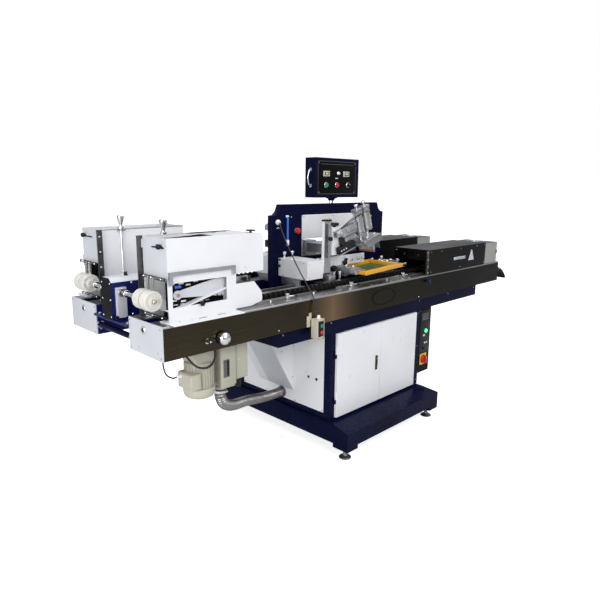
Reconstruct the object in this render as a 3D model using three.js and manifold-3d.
// In-line two-lane screen printing machine for flat sticks such as rulers.
//
// Millimetres, +Z up. +X runs along the lanes to the outfeed, +Y to the back.
// Pieces are placed from a point on the floor under the gantry's centre. The finished
// machine is then shifted along X, so its origin is under the middle of its whole length.
// The two lanes mirror each other about the plane Y = 0, so most lane pieces
// are made by one function that takes side = -1 (front) or +1 (rear).
//
// Inside a lane group the origin is on the lane's top face at its centre line.
// "out" is the distance from that centre line towards the outside of the machine.

import * as THREE from 'three';
import { mergeVertices } from 'three/addons/utils/BufferGeometryUtils.js';
import Module from 'manifold-3d';

const wasm = await Module();
wasm.setup();

// ---------------------------------------------------------------- dimensions

const GAP = 0.3;
const OVERLAP = 1;
const FRONT = -1;
const REAR = 1;

const BASE = { halfX: 510, halfY: 627.5, bottom: 90, edge: 185, top: 205, ledgeX: 495, ledgeY: 490 };
const BASE_WALL = 30;
const PAD = { drop: 25, sizeX: 100, sizeY: 120 };
const FOOT = { x: 460, y: 567, discRadius: 38, discHeight: 10, coneHeight: 20, stemRadius: 9 };

const CABINET = { left: -476, right: 505, halfY: 447.5, top: 775, wall: 5, post: 50 };
const DOOR = { left: -436, divider: 8, right: 428, bottom: 222, top: 768, thickness: 20, skin: 2 };
const DOOR_LAP = 14;
const SIDE_PANEL = { halfY: 391, bottom: 245, top: 743, thickness: 4 };
const PLATFORM = { left: -916, right: 1330, bottom: 775, top: 865, wall: 6 };
const LATCH = { x: -40, z: 498, halfWidth: 11, halfLength: 50, thickness: 7 };
const DRIVE = { left: -200, right: 100, halfY: 130, top: 430, motorRadius: 70, motorEnd: 330, shaftTop: 700 };

const CHUTE = { bottom: 320, outerX: -734, front: -127, rear: 210, wall: 3 };
const ELECTRIC = { right: 664, front: -440, rear: -240, bottom: 278, top: 770, wall: 3 };
const ISOLATOR = { x: 578, z: 380, plate: 84, plateDepth: 6, radius: 30, discDepth: 14, gripDepth: 30 };

const LANE = { halfLength: 1650, halfWidth: 150, depth: 165, centre: 327.5, top: 1030 };
const SHEET = 6;
const TROUGH = { halfWidth: 40, wall: 6 };
const CHAIN = { left: -1560, right: 1600, halfWidth: 28, top: -4, bottom: -80, band: 12 };
const COVER = { skin: 3, bend: 12, ledge: 97.5 };
const DECK_EDGE = 97;
const SLIDE = { tipX: 1880, tipZ: -172, startX: 1640, startZ: -58, halfWidth: 120, skin: 5 };

const MAGAZINE = { left: -1582, boxRight: -1063, right: -1009, out: 104, skin: 4, top: 386 };
const MAGAZINE_BOX_BOTTOM = 205;
const MAGAZINE_PLATE_BOTTOM = 188;
const SUPPORT_RIGHT = -1190;
const KNOB_X = -1462;
const KNOB_OUT = -113;

const FEED = { x: -1625, z: 1128, shaftRadius: 10, shaftHalf: 392, rollerRadius: 48, rollerLength: 116 };
const ROLLER_INNER = 262;
const GEARBOX = { left: -1670, right: -1360, halfY: 55, bottom: 985, top: 1198, chamfer: 20 };
const TIE_BAR = { x: -1630, z: 920, radius: 15 };
const LANE_GAP_HALF = LANE.centre - LANE.halfWidth;

const MOTOR = { x: -1360, y: -330, bottom: 589, cowlTop: 645, bodyTop: 780, radius: 75, cowlRadius: 82 };
const BLOWER = { left: -1261, right: -1161, front: -385, rear: -285, bottom: 605 };
const BLOWER_SIDE = { left: -1153, right: -1074, front: -375, rear: -300, bottom: 636 };
const HOSE_RADIUS = 32;
const HOSE_START = { x: -1228, y: -332, z: 590 };

const GANTRY = { halfX: 575, topHalfX: 500, shoulder: 1467, top: 1535, halfY: 20 };
const WINDOW = { halfX: 309, bottom: 1190, top: 1463 };
const WHITE_PANEL_BOTTOM = 1305;
const POLE_RADIUS = 14;
const RODS = { lowZ: 1225, highZ: 1270, radius: 12 };

const HOUSING = { left: -522, right: -380, inner: 24, outer: 282, bottom: 1085, top: 1200, wall: 3 };
// The front post is tall and slotted; the rear one stops level with its housing.
const POST = { right: -322, inner: 268, outer: 290, bottom: 1116, top: 1440, slotBottom: 1210 };
const BEAM = { right: 88, inner: 225, outer: 235, bottom: 1141, top: 1204 };

const CROSSHEAD = { left: -285, right: -185, halfY: 35, bottom: 1200, top: 1295 };
const ARM = { right: -215, bottom: 1225, top: 1285, outer: 270 };
const BRACKET = { left: -316, right: -250, inner: 262, outer: 300, top: 1400 };
const PIVOT = { x: -290, z: 1368, pinRadius: 8, pinEnd: 350 };

// At rest the front head is lifted and the rear head is level, as in printing.
const HEAD_TILT = THREE.MathUtils.degToRad(16);
const HEAD = { inner: 303, outer: 340, left: -28, right: 300, bottom: -40, top: 14 };
const CYLINDER = { width: 60, inner: 296, outer: 346, bottom: -75, top: 90, first: 205, second: 282 };
const PISTON = { radius: 8, bore: 8.5, boreTop: -20, top: -24 };
const CARRIER = { left: 160, right: 330, inner: 255, outer: 395, bottom: -150, top: -112 };
const BLADE = { x: 245, tip: -215, holderBottom: -200, inner: 262, outer: 388 };

const SCREEN = { left: -143, length: 403, inner: 145, outer: 440, bar: 30, below: -13, above: 12 };
const SCREEN_PIVOT_Z = 1108;
const SCREEN_TILT = THREE.MathUtils.degToRad(2.5);
const MESH_THICKNESS = 3;

const HOOD = { left: 530, right: 1390, top: 178, skin: 3, mouthHalf: 110, mouthTop: 100 };
const FAN_BOX = { right: 1607, halfWidth: 145, top: 170, skin: 3, passTop: 70 };
const FAN = { x: 1498, hole: 58, radius: 54, hub: 20, bottom: 135, top: 160, blades: 5 };

const CONSOLE = { halfX: 220, front: -57, rear: 40, bottom: 1575, top: 1835, wall: 3 };
const CONTROLS = { startX: -120, stopX: -13, selectorX: 104, z: 1658 };
const BUTTON = { radius: 13, depth: 11.5, standOff: 3.5 };
const EMERGENCY = { x: -361, z: 1364, radius: 20, stemRadius: 9 };

const PENDANT = { x: -663, z: 855, halfX: 30, halfZ: 57, front: -532, rear: -482 };
const PENDANT_BUTTON = { radius: 10, spacing: 19, depth: 7, standOff: 3.5 };
const HANDWHEEL = { x: -1320, z: 921 };
const LOCK_LEVER = { x: -1406, z: 920, length: 34 };

// ----------------------------------------------------------------- materials

const paint = (color) => new THREE.MeshStandardMaterial({ color, roughness: 0.45, metalness: 0.1 });
const metal = (color, roughness) => new THREE.MeshStandardMaterial({ color, roughness, metalness: 0.9 });
const plastic = (color) => new THREE.MeshStandardMaterial({ color, roughness: 0.5, metalness: 0 });

const NAVY = paint(0x121a4a);
const BLUE = paint(0x1b2a78);
const WHITE = paint(0xe9eaee);
const BEIGE = paint(0xbdb9a8);
const DARK_STAINLESS = metal(0x4a4036, 0.35);
const STEEL = metal(0x8e9092, 0.35);
const CHROME = metal(0xd5d7da, 0.15);
const ALUMINIUM = metal(0xb4b7ba, 0.4);
const CHAIN_STEEL = metal(0x3a3c3e, 0.5);
const NYLON = plastic(0xe8e6dc);
const BLACK = plastic(0x18181a);
const RED = plastic(0xc01818);
const GREEN = plastic(0x128a3c);
const YELLOW_WOOD = new THREE.MeshStandardMaterial({ color: 0xe09a20, roughness: 0.6, metalness: 0 });

// ------------------------------------------------------------ solid modelling

function toSolid(geometry) {
  const bare = geometry.clone();
  bare.deleteAttribute('normal');
  bare.deleteAttribute('uv');
  const merged = mergeVertices(bare, 1e-3);
  const index = merged.index.array;
  const triangles = [];
  for (let i = 0; i < index.length; i += 3) {
    const [a, b, c] = [index[i], index[i + 1], index[i + 2]];
    const collapsed = a === b || b === c || c === a;
    if (!collapsed) {
      triangles.push(a, b, c);
    }
  }
  return new wasm.Manifold(new wasm.Mesh({
    numProp: 3,
    vertProperties: merged.attributes.position.array,
    triVerts: Uint32Array.from(triangles),
  }));
}

function toGeometry(solid) {
  const mesh = solid.getMesh();
  const geometry = new THREE.BufferGeometry();
  geometry.setAttribute('position', new THREE.BufferAttribute(mesh.vertProperties, 3));
  geometry.setIndex(new THREE.BufferAttribute(mesh.triVerts, 1));
  geometry.computeVertexNormals();
  return geometry;
}

const join = (solids) => solids.reduce((sum, solid) => sum.add(solid));
const cut = (solid, cutters) => cutters.reduce((rest, cutter) => rest.subtract(cutter), solid);

function block(x0, x1, y0, y1, z0, z1) {
  const geometry = new THREE.BoxGeometry(x1 - x0, y1 - y0, z1 - z0);
  geometry.translate((x0 + x1) / 2, (y0 + y1) / 2, (z0 + z1) / 2);
  return toSolid(geometry);
}

// A block given by its distances from the machine's or the lane's centre line.
function sideBlock(side, x0, x1, out0, out1, z0, z1) {
  return side > 0 ? block(x0, x1, out0, out1, z0, z1) : block(x0, x1, -out1, -out0, z0, z1);
}

const AXES = {
  x: [new THREE.Vector3(0, 1, 0), new THREE.Vector3(0, 0, 1), new THREE.Vector3(1, 0, 0)],
  y: [new THREE.Vector3(1, 0, 0), new THREE.Vector3(0, 0, 1), new THREE.Vector3(0, -1, 0)],
};

// Extrudes an outline. Along x the outline is in (y, z); along y it is in (x, z).
function prism(axis, points, from, to) {
  const shape = new THREE.Shape(points.map(([a, b]) => new THREE.Vector2(a, b)));
  const geometry = new THREE.ExtrudeGeometry(shape, { depth: to - from, bevelEnabled: false });
  geometry.applyMatrix4(new THREE.Matrix4().makeBasis(...AXES[axis]));
  if (axis === 'x') {
    geometry.translate(from, 0, 0);
  } else {
    geometry.translate(0, to, 0);
  }
  return toSolid(geometry);
}

function sidePrism(side, points, out0, out1) {
  return side > 0 ? prism('y', points, out0, out1) : prism('y', points, -out1, -out0);
}

function arc(centreX, centreZ, radius, fromDegrees, toDegrees, steps) {
  const points = [];
  for (let i = 0; i <= steps; i += 1) {
    const angle = THREE.MathUtils.degToRad(fromDegrees + ((toDegrees - fromDegrees) * i) / steps);
    points.push([centreX + radius * Math.cos(angle), centreZ + radius * Math.sin(angle)]);
  }
  return points;
}

function rodX(x0, x1, y, z, radius, sides = 16) {
  const geometry = new THREE.CylinderGeometry(radius, radius, x1 - x0, sides);
  geometry.rotateZ(Math.PI / 2);
  geometry.translate((x0 + x1) / 2, y, z);
  return toSolid(geometry);
}

function rodY(y0, y1, x, z, radius, sides = 16) {
  const geometry = new THREE.CylinderGeometry(radius, radius, y1 - y0, sides);
  geometry.translate(x, (y0 + y1) / 2, z);
  return toSolid(geometry);
}

function rodZ(z0, z1, x, y, radius, sides = 16) {
  const geometry = new THREE.CylinderGeometry(radius, radius, z1 - z0, sides);
  geometry.rotateX(Math.PI / 2);
  geometry.translate(x, y, (z0 + z1) / 2);
  return toSolid(geometry);
}

function sideRodY(side, out0, out1, x, z, radius, sides) {
  return side > 0 ? rodY(out0, out1, x, z, radius, sides) : rodY(-out1, -out0, x, z, radius, sides);
}

// Revolves [radius, height] pairs, listed from low to high, about +Z.
function turned(profile, sides = 16) {
  const points = profile.map(([radius, height]) => new THREE.Vector2(radius, height));
  const geometry = new THREE.LatheGeometry(points, sides);
  geometry.rotateX(Math.PI / 2);
  return geometry;
}

// ------------------------------------------------------------------ assembly

const machine = new THREE.Group();

function addPart(parent, name, solid, material) {
  const mesh = new THREE.Mesh(toGeometry(solid), material);
  mesh.name = name;
  parent.add(mesh);
  return mesh;
}

function groupAt(parent, x, y, z) {
  const group = new THREE.Group();
  group.position.set(x, y, z);
  parent.add(group);
  return group;
}

// ------------------------------------------------------- base, frame, cabinet

function basePlinth() {
  const lengthwise = prism('y', [
    [-BASE.halfX, BASE.bottom], [BASE.halfX, BASE.bottom], [BASE.halfX, BASE.edge],
    [BASE.ledgeX, BASE.top], [-BASE.ledgeX, BASE.top], [-BASE.halfX, BASE.edge],
  ], -BASE.halfY, BASE.halfY);
  const crosswise = prism('x', [
    [-BASE.halfY, BASE.bottom], [BASE.halfY, BASE.bottom], [BASE.halfY, BASE.edge],
    [BASE.ledgeY, BASE.top], [-BASE.ledgeY, BASE.top], [-BASE.halfY, BASE.edge],
  ], -BASE.halfX, BASE.halfX);
  const innerX = BASE.halfX - BASE_WALL;
  const innerY = BASE.halfY - BASE_WALL;
  const hollow = block(-innerX, innerX, -innerY, innerY, BASE.bottom - OVERLAP, BASE.edge - SHEET);
  const tray = cut(lengthwise.intersect(crosswise), [hollow]);
  const pads = [];
  for (const side of [FRONT, REAR]) {
    for (const left of [-BASE.halfX, BASE.halfX - PAD.sizeX]) {
      const bottom = BASE.bottom - PAD.drop;
      const inner = BASE.halfY - PAD.sizeY;
      pads.push(sideBlock(side, left, left + PAD.sizeX, inner, BASE.halfY, bottom, BASE.bottom + OVERLAP));
    }
  }
  return join([tray, ...pads]);
}

function levellingFoot() {
  const top = BASE.bottom - PAD.drop - GAP;
  return toSolid(turned([
    [0, 0], [FOOT.discRadius, 0], [FOOT.discRadius, FOOT.discHeight],
    [FOOT.stemRadius, FOOT.coneHeight], [FOOT.stemRadius, top], [0, top],
  ]));
}

function mainFrame() {
  const { left, right, halfY, top, wall, post } = CABINET;
  const bottom = BASE.top + GAP;
  const skirt = cut(block(left, right, -halfY, halfY, bottom, top + OVERLAP), [
    block(left + wall, right - wall, wall - halfY, halfY - wall, bottom - OVERLAP, top + 2 * OVERLAP),
  ]);
  const posts = [];
  for (const side of [FRONT, REAR]) {
    for (const x of [left, right - post]) {
      posts.push(sideBlock(side, x, x + post, halfY - post, halfY, bottom, top + OVERLAP));
    }
  }
  const clearance = 2;
  const doorway = block(
    DOOR.left + DOOR_LAP, DOOR.right - DOOR_LAP, -halfY - OVERLAP, wall + OVERLAP - halfY,
    DOOR.bottom + DOOR_LAP, DOOR.top - DOOR_LAP,
  );
  const panelHole = block(
    left - OVERLAP, left + wall + OVERLAP,
    -SIDE_PANEL.halfY - clearance, SIDE_PANEL.halfY + clearance,
    SIDE_PANEL.bottom - clearance, SIDE_PANEL.top + clearance,
  );
  const cabinet = cut(join([skirt, ...posts]), [doorway, panelHole]);
  const table = block(PLATFORM.left, PLATFORM.right, -halfY, halfY, PLATFORM.bottom, PLATFORM.top);
  const inside = block(
    PLATFORM.left + PLATFORM.wall, PLATFORM.right - PLATFORM.wall,
    PLATFORM.wall - halfY, halfY - PLATFORM.wall,
    PLATFORM.bottom + PLATFORM.wall, PLATFORM.top - PLATFORM.wall,
  );
  const wellOpening = block(
    left + post, right - post, post - halfY, halfY - post,
    PLATFORM.bottom - OVERLAP, PLATFORM.bottom + PLATFORM.wall + OVERLAP,
  );
  return cut(join([cabinet, cut(table, [inside])]), [wellOpening]);
}

function leftPanel() {
  const { halfY, bottom, top, thickness } = SIDE_PANEL;
  return block(CABINET.left, CABINET.left + thickness, -halfY, halfY, bottom, top);
}

// A sheet door with a folded rim. It stands on the frame's face, at y = 0.
function sheetDoor(fromX, toX) {
  const height = DOOR.top - DOOR.bottom;
  const rim = 12;
  return cut(block(fromX, toX, -DOOR.thickness, -GAP, 0, height), [
    block(fromX + rim, toX - rim, DOOR.skin - DOOR.thickness, OVERLAP, rim, height - rim),
  ]);
}

function doorLatch() {
  const { halfWidth, halfLength, thickness } = LATCH;
  return block(-halfWidth, halfWidth, -thickness, -GAP, -halfLength, halfLength);
}

// The geared motor and cam box that index the chains and drive the crosshead.
function driveUnit() {
  const { left, right, halfY, top, motorRadius, motorEnd, shaftTop } = DRIVE;
  const floor = BASE.top + GAP;
  const middle = (floor + top) / 2;
  return join([
    block(left, right, -halfY, halfY, floor, top),
    rodX(right - OVERLAP, motorEnd, 0, middle, motorRadius),
    rodZ(top - OVERLAP, shaftTop, (left + right) / 2, 0, 25, 12),
  ]);
}

function wasteChute() {
  const panelSide = CABINET.left - GAP;
  const top = PLATFORM.bottom - GAP;
  const { bottom, outerX, front, rear, wall } = CHUTE;
  const outer = prism('y', [[panelSide, bottom], [panelSide, top], [outerX, top]], front, rear);
  const rise = (top - bottom) / (panelSide - outerX);
  const innerX = panelSide - wall;
  const innerTop = top + OVERLAP;
  const innerBottom = bottom + wall * (rise + 2);
  const innerOuterX = innerX - (innerTop - innerBottom) / rise;
  const hollow = prism('y', [
    [innerX, innerBottom], [innerX, innerTop], [innerOuterX, innerTop],
  ], front + wall, rear - wall);
  return cut(outer, [hollow]);
}

function electricalBox() {
  const { right, front, rear, bottom, top, wall } = ELECTRIC;
  const left = CABINET.right + GAP;
  const half = ISOLATOR.plate / 2;
  const casing = cut(block(left, right, front, rear, bottom, top), [
    block(left + wall, right - wall, front + wall, rear - wall, bottom + wall, top - wall),
    block(left + 40, left + 80, rear - 80, rear - 40, bottom - OVERLAP, bottom + wall + OVERLAP),
  ]);
  const plate = block(
    ISOLATOR.x - half, ISOLATOR.x + half, front - ISOLATOR.plateDepth, front + OVERLAP,
    ISOLATOR.z - half, ISOLATOR.z + half,
  );
  return join([casing, plate]);
}

function isolatorKnob() {
  const { radius, discDepth, gripDepth, plateDepth } = ISOLATOR;
  const face = ELECTRIC.front - plateDepth - GAP;
  const disc = rodY(face - discDepth, face, 0, 0, radius, 20);
  const grip = block(-8, 8, face - gripDepth, face - discDepth + OVERLAP, -27, 27);
  return join([disc, grip]);
}

// ----------------------------------------------------------------- lane parts

function outfeedSlide(side) {
  const curve = new THREE.QuadraticBezierCurve(
    new THREE.Vector2(SLIDE.startX, SLIDE.startZ),
    new THREE.Vector2(SLIDE.startX + 150, SLIDE.startZ - 4),
    new THREE.Vector2(SLIDE.tipX, SLIDE.tipZ),
  );
  const upper = curve.getPoints(8).map((point) => [point.x, point.y]);
  const lower = upper.map(([x, z]) => [x, z - SLIDE.skin]).reverse();
  return sidePrism(side, [...lower, ...upper], -SLIDE.halfWidth, SLIDE.halfWidth);
}

function laneBed(side) {
  const { halfLength, halfWidth, depth } = LANE;
  const floor = GAP - depth;
  const left = SHEET - halfLength - OVERLAP;
  const wallOut = halfWidth - COVER.skin - GAP;
  const trough = TROUGH.halfWidth + TROUGH.wall;
  const parts = [
    sideBlock(side, left, halfLength, -halfWidth, SHEET - halfWidth, floor, 0),
    sideBlock(side, left, halfLength, -halfWidth, wallOut, floor, floor + SHEET),
    sideBlock(side, left, halfLength, -trough, -TROUGH.halfWidth, floor + OVERLAP, 0),
    sideBlock(side, left, halfLength, TROUGH.halfWidth, trough, floor + OVERLAP, 0),
    sideBlock(side, left, halfLength, -halfWidth, -TROUGH.halfWidth, -SHEET, 0),
    sideBlock(side, left, halfLength, TROUGH.halfWidth, DECK_EDGE, -SHEET, 0),
    sideBlock(side, -halfLength, SHEET - halfLength, -halfWidth, halfWidth, floor, 0),
    sideBlock(side, -1000, -560, -118, -110, -OVERLAP, 30),
    sideBlock(side, 320, 520, -118, -110, -OVERLAP, 30),
    outfeedSlide(side),
  ];
  return join(parts);
}

function sideCover(side) {
  const { halfLength, halfWidth, depth } = LANE;
  const bendOut = halfWidth - COVER.bend;
  const outerBend = arc(bendOut, -COVER.bend, COVER.bend, 0, 90, 4);
  const innerBend = arc(bendOut, -COVER.bend, COVER.bend - COVER.skin, 90, 0, 4);
  const section = [
    [halfWidth, -depth], ...outerBend, [COVER.ledge, 0],
    [COVER.ledge, -COVER.skin], ...innerBend, [halfWidth - COVER.skin, -depth],
  ].map(([out, z]) => [side * out, z]);
  return prism('x', section, SHEET + GAP - halfLength, halfLength);
}

function conveyorChain(side) {
  const { left, right, halfWidth, top, bottom, band } = CHAIN;
  return cut(sideBlock(side, left, right, -halfWidth, halfWidth, bottom, top), [
    sideBlock(side, left + band, right - band, -halfWidth - 1, halfWidth + 1, bottom + band, top - band),
  ]);
}

function magazine(side) {
  const { left, boxRight, right, out, skin, top } = MAGAZINE;
  const inner = out - skin;
  const corner = 30;
  const upperPlate = sidePrism(side, [
    [left, MAGAZINE_PLATE_BOTTOM], [right, MAGAZINE_PLATE_BOTTOM],
    ...arc(right - corner, top - corner, corner, 0, 90, 5), [left, top],
  ], inner, out);
  const supportPlate = cut(sideBlock(side, left, SUPPORT_RIGHT, inner, out, SHEET - 2, 206), [
    sideBlock(side, -1559, -1248, inner - 1, out + 1, 65, 180),
  ]);
  const guard = sidePrism(side, [
    [SUPPORT_RIGHT - 2, 9], [-1091, 9], [-1020, 27], [-1017, 40], [-1020, 75], [-1072, 136],
    [SUPPORT_RIGHT - 2, 136],
  ], inner, out);
  const ramp = sidePrism(side, [[-1559, 40], [-1250, 120], [-1250, 126], [-1559, 46]], -inner - 1, inner + 1);
  const boxBottom = MAGAZINE_BOX_BOTTOM;
  return join([
    upperPlate, supportPlate, guard, ramp,
    sideBlock(side, left, boxRight, -out, -inner, SHEET - 2, top),
    sideBlock(side, left, left + skin, -out, out, boxBottom, top),
    sideBlock(side, boxRight - skin, boxRight, -out, out, MAGAZINE_PLATE_BOTTOM, top),
    sideBlock(side, -1604, -1198, 60, 182, GAP, SHEET - 1),
    sideBlock(side, left, -1198, -out, -60, GAP, SHEET - 1),
    sideBlock(side, -1580, -1202, inner, 118, 216, 234),
    sideBlock(side, -1580, -1562, inner, 118, 174, 234),
    sideBlock(side, -1220, -1202, inner, 118, 190, 234),
    sideBlock(side, -1604, -1574, -122, -116, GAP, top),
    sideBlock(side, left, -1574, -119, -inner, 330, 370),
    sideBlock(side, left, -1574, -119, -inner, 20, 60),
  ]);
}

function heightKnob() {
  const top = MAGAZINE.top;
  return toSolid(turned([
    [0, 1], [4.5, 1], [4.5, top + 2], [16, top + 2], [16, top + 8], [8, top + 16],
    [19, top + 58], [19, top + 68], [13, top + 74], [0, top + 74],
  ], 12));
}

// ------------------------------------------------------------- feed mechanism

function feedRollers() {
  const { rollerRadius: radius, rollerLength: length, shaftRadius } = FEED;
  const bore = shaftRadius + GAP;
  const half = length / 2;
  const groove = 5;
  const lip = 4;
  return toSolid(turned([
    [bore, 0], [radius - lip, 0], [radius, lip],
    [radius, half - groove - lip], [30, half - groove], [30, half + groove],
    [radius, half + groove + lip], [radius, length - lip], [radius - lip, length],
    [bore, length], [bore, 0],
  ]).rotateX(Math.PI / 2));
}

function feedShaft() {
  return rodY(-FEED.shaftHalf, FEED.shaftHalf, 0, 0, FEED.shaftRadius, 12);
}

function feedGearbox() {
  const { left, right, halfY, bottom, top, chamfer } = GEARBOX;
  const body = prism('x', [
    [-halfY, bottom], [halfY, bottom], [halfY, top - chamfer], [halfY - chamfer, top],
    [chamfer - halfY, top], [-halfY, top - chamfer],
  ], left, right);
  const reach = LANE_GAP_HALF - GAP;
  const plate = block(left + 8, right - 8, -reach, reach, bottom - 10, bottom + OVERLAP);
  const bearing = block(FEED.x - 25, FEED.x + 25, -halfY - 20, OVERLAP - halfY, bottom, FEED.z + 24);
  const bore = rodY(-halfY - 30, halfY + 10, FEED.x, FEED.z, FEED.shaftRadius + 2);
  return cut(join([body, plate, bearing]), [bore]);
}

function tieBar() {
  const reach = LANE_GAP_HALF - GAP;
  return rodY(-reach, reach, TIE_BAR.x, TIE_BAR.z, TIE_BAR.radius, 12);
}

function feedMotor() {
  const top = LANE.top - LANE.depth - GAP;
  const { bottom, cowlTop, bodyTop, radius, cowlRadius } = MOTOR;
  const shell = toSolid(turned([
    [0, bottom], [cowlRadius - 22, bottom], [cowlRadius - 6, bottom + 12], [cowlRadius, bottom + 28],
    [cowlRadius, cowlTop], [radius, cowlTop], [radius, bodyTop], [0, bodyTop],
  ], 20));
  return join([
    shell,
    block(-58, 58, -58, 58, bodyTop - OVERLAP, top - 15),
    block(-72, 72, -72, 72, top - 16, top),
    block(-100, -45, -75, 40, cowlTop + 10, cowlTop + 92),
  ]);
}

function vacuumBlower() {
  const top = LANE.top - LANE.depth - GAP;
  const side = BLOWER_SIDE;
  return join([
    block(BLOWER.left, BLOWER.right, BLOWER.front, BLOWER.rear, BLOWER.bottom, top),
    block(side.left, side.right, side.front, side.rear, side.bottom, top),
    block(BLOWER.right - OVERLAP, side.left + OVERLAP, side.front + 10, side.rear - 10, 700, 800),
    rodZ(HOSE_START.z + GAP, BLOWER.bottom + OVERLAP, HOSE_START.x, HOSE_START.y, 30),
  ]);
}

function airHose() {
  const { x, y, z } = HOSE_START;
  const port = z - GAP;
  const wall = CABINET.left - GAP;
  const path = new THREE.CatmullRomCurve3([
    new THREE.Vector3(x, y, port + 10),
    new THREE.Vector3(x, y, port - 45),
    new THREE.Vector3(-1190, -312, 490),
    new THREE.Vector3(-1090, -257, 436),
    new THREE.Vector3(-930, -176, 390),
    new THREE.Vector3(-720, -78, 324),
    new THREE.Vector3(-580, -24, 290),
    new THREE.Vector3(wall + 10, -12, 284),
  ]);
  const circle = new THREE.Shape().absarc(0, 0, HOSE_RADIUS, 0, 2 * Math.PI);
  const tube = toSolid(new THREE.ExtrudeGeometry(circle, {
    extrudePath: path, steps: 22, curveSegments: 6, bevelEnabled: false,
  }));
  const reach = 2 * HOSE_RADIUS;
  return cut(tube, [
    block(x - reach, x + reach, y - reach, y + reach, port, port + reach),
    block(wall, wall + reach, -reach - 12, reach - 12, 284 - reach, 284 + reach),
  ]);
}

// --------------------------------------------------------- gantry and carriage

function gantryPlate() {
  const { halfX, topHalfX, shoulder, top, halfY } = GANTRY;
  const bottom = PLATFORM.top + GAP;
  const leftSide = [
    [-topHalfX, top], [-topHalfX - 18, shoulder + 24], [-topHalfX - 44, shoulder + 3], [-halfX, shoulder],
  ];
  const rightSide = leftSide.map(([x, z]) => [-x, z]).reverse();
  const outline = [[-halfX, bottom], [halfX, bottom], ...rightSide, ...leftSide];
  const plate = cut(prism('y', outline, -halfY, halfY), [
    block(-WINDOW.halfX, WINDOW.halfX, -halfY - 1, halfY + 1, WINDOW.bottom, WINDOW.top),
  ]);
  return join([
    plate,
    block(-halfX, halfX, -3 * halfY, 3 * halfY, bottom, bottom + 15),
    rodZ(top - OVERLAP, CONSOLE.bottom - GAP, 0, 0, POLE_RADIUS),
  ]);
}

function gantryPanel() {
  const clearance = 2;
  return block(
    clearance - WINDOW.halfX, WINDOW.halfX - clearance, 1 - GANTRY.halfY, 6 - GANTRY.halfY,
    WHITE_PANEL_BOTTOM, WINDOW.top - clearance,
  );
}

function headRods() {
  const reach = WINDOW.halfX - GAP;
  const ends = [-reach, reach - 16].map((x) => block(x, x + 16, -18, 18, 1206, 1290));
  const rods = [RODS.lowZ, RODS.highZ].map((z) => rodX(-reach + 1, reach - 1, 0, z, RODS.radius, 12));
  return join([...ends, ...rods]);
}

function slideHousing(side) {
  const { left, right, inner, outer, bottom, top, wall } = HOUSING;
  const casing = cut(sideBlock(side, left, right, inner, outer, bottom, top), [
    sideBlock(side, left + wall, right - wall, inner + wall, outer - wall, bottom - 1, top - wall),
  ]);
  const postTop = side === FRONT ? POST.top : top;
  const post = cut(sideBlock(side, right - OVERLAP, POST.right, POST.inner, POST.outer, POST.bottom, postTop), [
    sideBlock(side, right + 22, right + 34, POST.inner - 1, POST.outer + 1, POST.slotBottom, POST.top - 20),
  ]);
  const beam = sideBlock(side, right - OVERLAP, BEAM.right, BEAM.inner, BEAM.outer, BEAM.bottom, BEAM.top);
  return join([casing, post, beam]);
}

function crosshead() {
  const { left, right, halfY, bottom, top } = CROSSHEAD;
  const parts = [block(left, right, -halfY, halfY, bottom, top)];
  for (const side of [FRONT, REAR]) {
    parts.push(
      sideBlock(side, left, ARM.right, halfY - OVERLAP, ARM.outer, ARM.bottom, ARM.top),
      sideBlock(side, BRACKET.left, BRACKET.right, BRACKET.inner, BRACKET.outer, ARM.bottom, BRACKET.top),
      sideRodY(side, BRACKET.outer - OVERLAP, PIVOT.pinEnd, PIVOT.x, PIVOT.z, PIVOT.pinRadius, 12),
    );
  }
  const bores = [RODS.lowZ, RODS.highZ].map((z) => rodX(left - 1, right + 1, 0, z, RODS.radius + 1, 12));
  return cut(join(parts), bores);
}

// The head and the squeegee are drawn level, about the tilt pivot.
function squeegeeHead(side) {
  const { left, right, inner, outer, bottom, top } = HEAD;
  const parts = [sideBlock(side, left, right, inner, outer, bottom, top)];
  const bores = [sideRodY(side, inner - 1, outer + 1, 0, 0, PIVOT.pinRadius + 0.5, 12)];
  const middle = side * (CYLINDER.inner + CYLINDER.outer) / 2;
  for (const x of [CYLINDER.first, CYLINDER.second]) {
    const half = CYLINDER.width / 2;
    const knobFoot = CYLINDER.top - OVERLAP;
    parts.push(
      sideBlock(side, x - half, x + half, CYLINDER.inner, CYLINDER.outer, CYLINDER.bottom, CYLINDER.top),
      rodZ(knobFoot, knobFoot + 14, x, middle, 6, 8),
      rodZ(knobFoot + 13, knobFoot + 30, x, middle, 14, 12),
    );
    bores.push(rodZ(CYLINDER.bottom - 1, PISTON.boreTop, x, middle, PISTON.bore, 12));
  }
  return cut(join(parts), bores);
}

function squeegee(side) {
  const { left, right, inner, outer, bottom, top } = CARRIER;
  const middle = side * (CYLINDER.inner + CYLINDER.outer) / 2;
  const flood = CYLINDER.second + 20;
  const parts = [
    sideBlock(side, left, right, inner, outer, bottom, top),
    sideBlock(side, BLADE.x - 10, BLADE.x + 10, BLADE.inner, BLADE.outer, BLADE.holderBottom, bottom + 1),
    sideBlock(side, BLADE.x - 4, BLADE.x + 4, BLADE.inner, BLADE.outer, BLADE.tip, BLADE.holderBottom + 1),
    sideBlock(side, flood - 3, flood + 3, BLADE.inner, BLADE.outer, BLADE.tip + 8, bottom + 1),
  ];
  for (const x of [CYLINDER.first, CYLINDER.second]) {
    parts.push(rodZ(top - OVERLAP, PISTON.top, x, middle, PISTON.radius, 12));
  }
  return join(parts);
}

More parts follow.
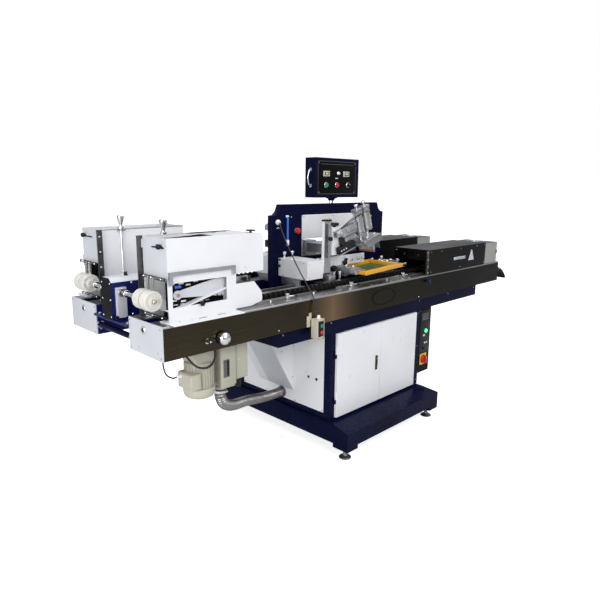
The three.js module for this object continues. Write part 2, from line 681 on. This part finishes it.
// Drawn level, about the hinge line at its left end.
function screenFrame(side) {
  const { length, inner, outer, bar, below, above } = SCREEN;
  const ring = cut(sideBlock(side, 0, length, inner, outer, below, above), [
    sideBlock(side, bar, length - bar, inner + bar, outer - bar, below - 1, above + 1),
  ]);
  const half = bar / 2;
  const mesh = sideBlock(side, half, length - half, inner + half, outer - half, below, below + MESH_THICKNESS);
  return join([ring, mesh]);
}

// ---------------------------------------------------------- dryers and outfeed

function dryerHood(side) {
  const { left, right, top, skin, mouthHalf, mouthTop } = HOOD;
  const width = LANE.halfWidth;
  return cut(sideBlock(side, left, right, -width, width, GAP, top), [
    sideBlock(side, left + skin, right + 1, skin - width, width - skin, -1, top - skin),
    sideBlock(side, left - 1, left + skin + 1, -mouthHalf, mouthHalf, -1, mouthTop),
  ]);
}

function fanBox(side) {
  const { right, halfWidth, top, skin, passTop } = FAN_BOX;
  const left = HOOD.right + GAP;
  const shell = cut(sideBlock(side, left, right, -halfWidth, halfWidth, GAP, top), [
    sideBlock(side, left + skin, right - skin, skin - halfWidth, halfWidth - skin, -1, top - skin),
    sideBlock(side, left - 1, right + 1, -HOOD.mouthHalf, HOOD.mouthHalf, -1, passTop),
    rodZ(top - skin - 1, top + 1, FAN.x, 0, FAN.hole, 20),
  ]);
  const spider = sideBlock(side, left + 1, right - 1, -6, 6, FAN.bottom - 15, FAN.bottom - 8);
  const bearing = rodZ(FAN.bottom - 9, FAN.bottom - 1, FAN.x, 0, 12, 12);
  return join([shell, spider, bearing]);
}

function fanRotor() {
  const { hub, radius, bottom, top, blades } = FAN;
  const parts = [rodZ(bottom, top, 0, 0, hub, 12)];
  for (let i = 0; i < blades; i += 1) {
    const geometry = new THREE.BoxGeometry(radius - hub + 4, 26, 2.5);
    geometry.rotateX(THREE.MathUtils.degToRad(35));
    geometry.translate((radius + hub) / 2 - 2, 0, (bottom + top) / 2);
    geometry.rotateZ((2 * Math.PI * i) / blades);
    parts.push(toSolid(geometry));
  }
  return join(parts);
}

// ------------------------------------------------------------------- controls

function consoleBox() {
  const { halfX, front, rear, bottom, top, wall } = CONSOLE;
  return cut(block(-halfX, halfX, front, rear, bottom, top), [
    block(wall - halfX, halfX - wall, front + wall, rear - wall, bottom + wall, top - wall),
    block(-8, 8, -8, 8, bottom - OVERLAP, bottom + wall + OVERLAP),
  ]);
}

function pushButton({ radius, depth, standOff }) {
  return rodY(-standOff - depth, -standOff, 0, 0, radius, 12);
}

function selector() {
  const base = rodY(-8, -GAP, 0, 0, BUTTON.radius, 12);
  const grip = block(-4, 4, -20, -7, -12, 12);
  return join([base, grip]);
}

function emergencyButton() {
  const stem = rodY(-16, -6, 0, 0, EMERGENCY.stemRadius, 12);
  const head = rodY(-30, -15, 0, 0, EMERGENCY.radius, 20);
  return join([stem, head]);
}

function pendantBox() {
  const { x, z, halfX, halfZ, front, rear } = PENDANT;
  const cover = -LANE.centre - LANE.halfWidth;
  return join([
    block(x - halfX, x + halfX, front, rear, z - halfZ, z + halfZ),
    block(x - 10, x + 10, rear - OVERLAP, cover - GAP, z, z + 30),
  ]);
}

function handwheel() {
  return toSolid(turned([
    [0, GAP], [14, GAP], [14, 12], [31, 14], [33, 20], [33, 27], [28, 38], [17, 47], [0, 50],
  ], 20).rotateX(Math.PI / 2));
}

function lockLever() {
  const hub = rodY(-24, -GAP, 0, 0, 9, 12);
  const arm = block(-6, LOCK_LEVER.length, -30, -18, -6, 6);
  return join([hub, arm]);
}

// ------------------------------------------------------------------- building

addPart(machine, 'base_plinth', basePlinth(), NAVY);
for (const [name, x, y] of [
  ['foot_front_left', -FOOT.x, -FOOT.y], ['foot_front_right', FOOT.x, -FOOT.y],
  ['foot_rear_left', -FOOT.x, FOOT.y], ['foot_rear_right', FOOT.x, FOOT.y],
]) {
  addPart(groupAt(machine, x, y, 0), name, levellingFoot(), STEEL);
}
addPart(machine, 'main_frame', mainFrame(), NAVY);
addPart(machine, 'left_panel', leftPanel(), WHITE);
addPart(machine, 'waste_chute', wasteChute(), WHITE);
addPart(machine, 'drive_unit', driveUnit(), BEIGE);
addPart(machine, 'electrical_box', electricalBox(), NAVY);
addPart(groupAt(machine, ISOLATOR.x, 0, ISOLATOR.z), 'isolator_knob', isolatorKnob(), RED);

const leftHinge = groupAt(machine, DOOR.left, -CABINET.halfY, DOOR.bottom);
addPart(leftHinge, 'left_door', sheetDoor(0, DOOR.divider - DOOR.left - 1), WHITE);
const latchSpot = groupAt(leftHinge, LATCH.x - DOOR.left, -DOOR.thickness, LATCH.z - DOOR.bottom);
addPart(latchSpot, 'door_latch', doorLatch(), BLACK);
const rightHinge = groupAt(machine, DOOR.right, -CABINET.halfY, DOOR.bottom);
addPart(rightHinge, 'right_door', sheetDoor(DOOR.divider - DOOR.right + 1, 0), WHITE);

for (const [label, side] of [['front', FRONT], ['rear', REAR]]) {
  const lane = groupAt(machine, 0, side * LANE.centre, LANE.top);
  addPart(lane, `${label}_lane_bed`, laneBed(side), BLUE);
  addPart(lane, `${label}_side_cover`, sideCover(side), DARK_STAINLESS);
  addPart(lane, `${label}_chain`, conveyorChain(side), CHAIN_STEEL);
  addPart(lane, `${label}_magazine`, magazine(side), WHITE);
  addPart(groupAt(lane, KNOB_X, side * KNOB_OUT, 0), `${label}_height_knob`, heightKnob(), CHROME);
  addPart(lane, `${label}_dryer_hood`, dryerHood(side), DARK_STAINLESS);
  addPart(lane, `${label}_fan_box`, fanBox(side), WHITE);
  addPart(groupAt(lane, FAN.x, 0, 0), `${label}_fan_rotor`, fanRotor(), BLACK);

  const rollerEnd = side > 0 ? ROLLER_INNER + FEED.rollerLength : -ROLLER_INNER;
  addPart(groupAt(machine, FEED.x, rollerEnd, FEED.z), `${label}_feed_rollers`, feedRollers(), NYLON);

  addPart(machine, `${label}_slide_housing`, slideHousing(side), WHITE);
  const head = groupAt(machine, PIVOT.x, 0, PIVOT.z);
  head.rotation.y = side === FRONT ? -HEAD_TILT : 0;
  addPart(head, `${label}_squeegee_head`, squeegeeHead(side), ALUMINIUM);
  addPart(head, `${label}_squeegee`, squeegee(side), ALUMINIUM);
  const screen = groupAt(machine, SCREEN.left, 0, SCREEN_PIVOT_Z);
  screen.rotation.y = -SCREEN_TILT;
  addPart(screen, `${label}_screen_frame`, screenFrame(side), YELLOW_WOOD);
}

addPart(groupAt(machine, FEED.x, 0, FEED.z), 'feed_shaft', feedShaft(), STEEL);
addPart(machine, 'feed_gearbox', feedGearbox(), BLUE);
addPart(machine, 'tie_bar', tieBar(), STEEL);
addPart(groupAt(machine, MOTOR.x, MOTOR.y, 0), 'feed_motor', feedMotor(), BEIGE);
addPart(machine, 'vacuum_blower', vacuumBlower(), BEIGE);
addPart(machine, 'air_hose', airHose(), ALUMINIUM);

addPart(machine, 'gantry_plate', gantryPlate(), NAVY);
addPart(machine, 'gantry_panel', gantryPanel(), WHITE);
addPart(machine, 'head_rods', headRods(), CHROME);
addPart(machine, 'crosshead', crosshead(), WHITE);
addPart(groupAt(machine, EMERGENCY.x, -GANTRY.halfY, EMERGENCY.z), 'emergency_button', emergencyButton(), RED);

addPart(machine, 'console_box', consoleBox(), NAVY);
const startSpot = groupAt(machine, CONTROLS.startX, CONSOLE.front, CONTROLS.z);
addPart(startSpot, 'console_start_button', pushButton(BUTTON), GREEN);
const stopSpot = groupAt(machine, CONTROLS.stopX, CONSOLE.front, CONTROLS.z);
addPart(stopSpot, 'console_stop_button', pushButton(BUTTON), RED);
const selectorSpot = groupAt(machine, CONTROLS.selectorX, CONSOLE.front, CONTROLS.z);
addPart(selectorSpot, 'console_selector', selector(), BLACK);

addPart(machine, 'pendant_box', pendantBox(), BEIGE);
const pendantUpper = groupAt(machine, PENDANT.x, PENDANT.front, PENDANT.z + PENDANT_BUTTON.spacing);
addPart(pendantUpper, 'pendant_start_button', pushButton(PENDANT_BUTTON), GREEN);
const pendantLower = groupAt(machine, PENDANT.x, PENDANT.front, PENDANT.z - PENDANT_BUTTON.spacing);
addPart(pendantLower, 'pendant_stop_button', pushButton(PENDANT_BUTTON), RED);
const wheelSpot = groupAt(machine, HANDWHEEL.x, -LANE.centre - LANE.halfWidth, HANDWHEEL.z);
addPart(wheelSpot, 'handwheel', handwheel(), CHROME);
const leverSpot = groupAt(machine, LOCK_LEVER.x, -LANE.centre - LANE.halfWidth, LOCK_LEVER.z);
addPart(leverSpot, 'lock_lever', lockLever(), BLACK);

const overallLeft = FEED.x - FEED.rollerRadius;
machine.position.x = -(overallLeft + SLIDE.tipX) / 2;

export default machine;
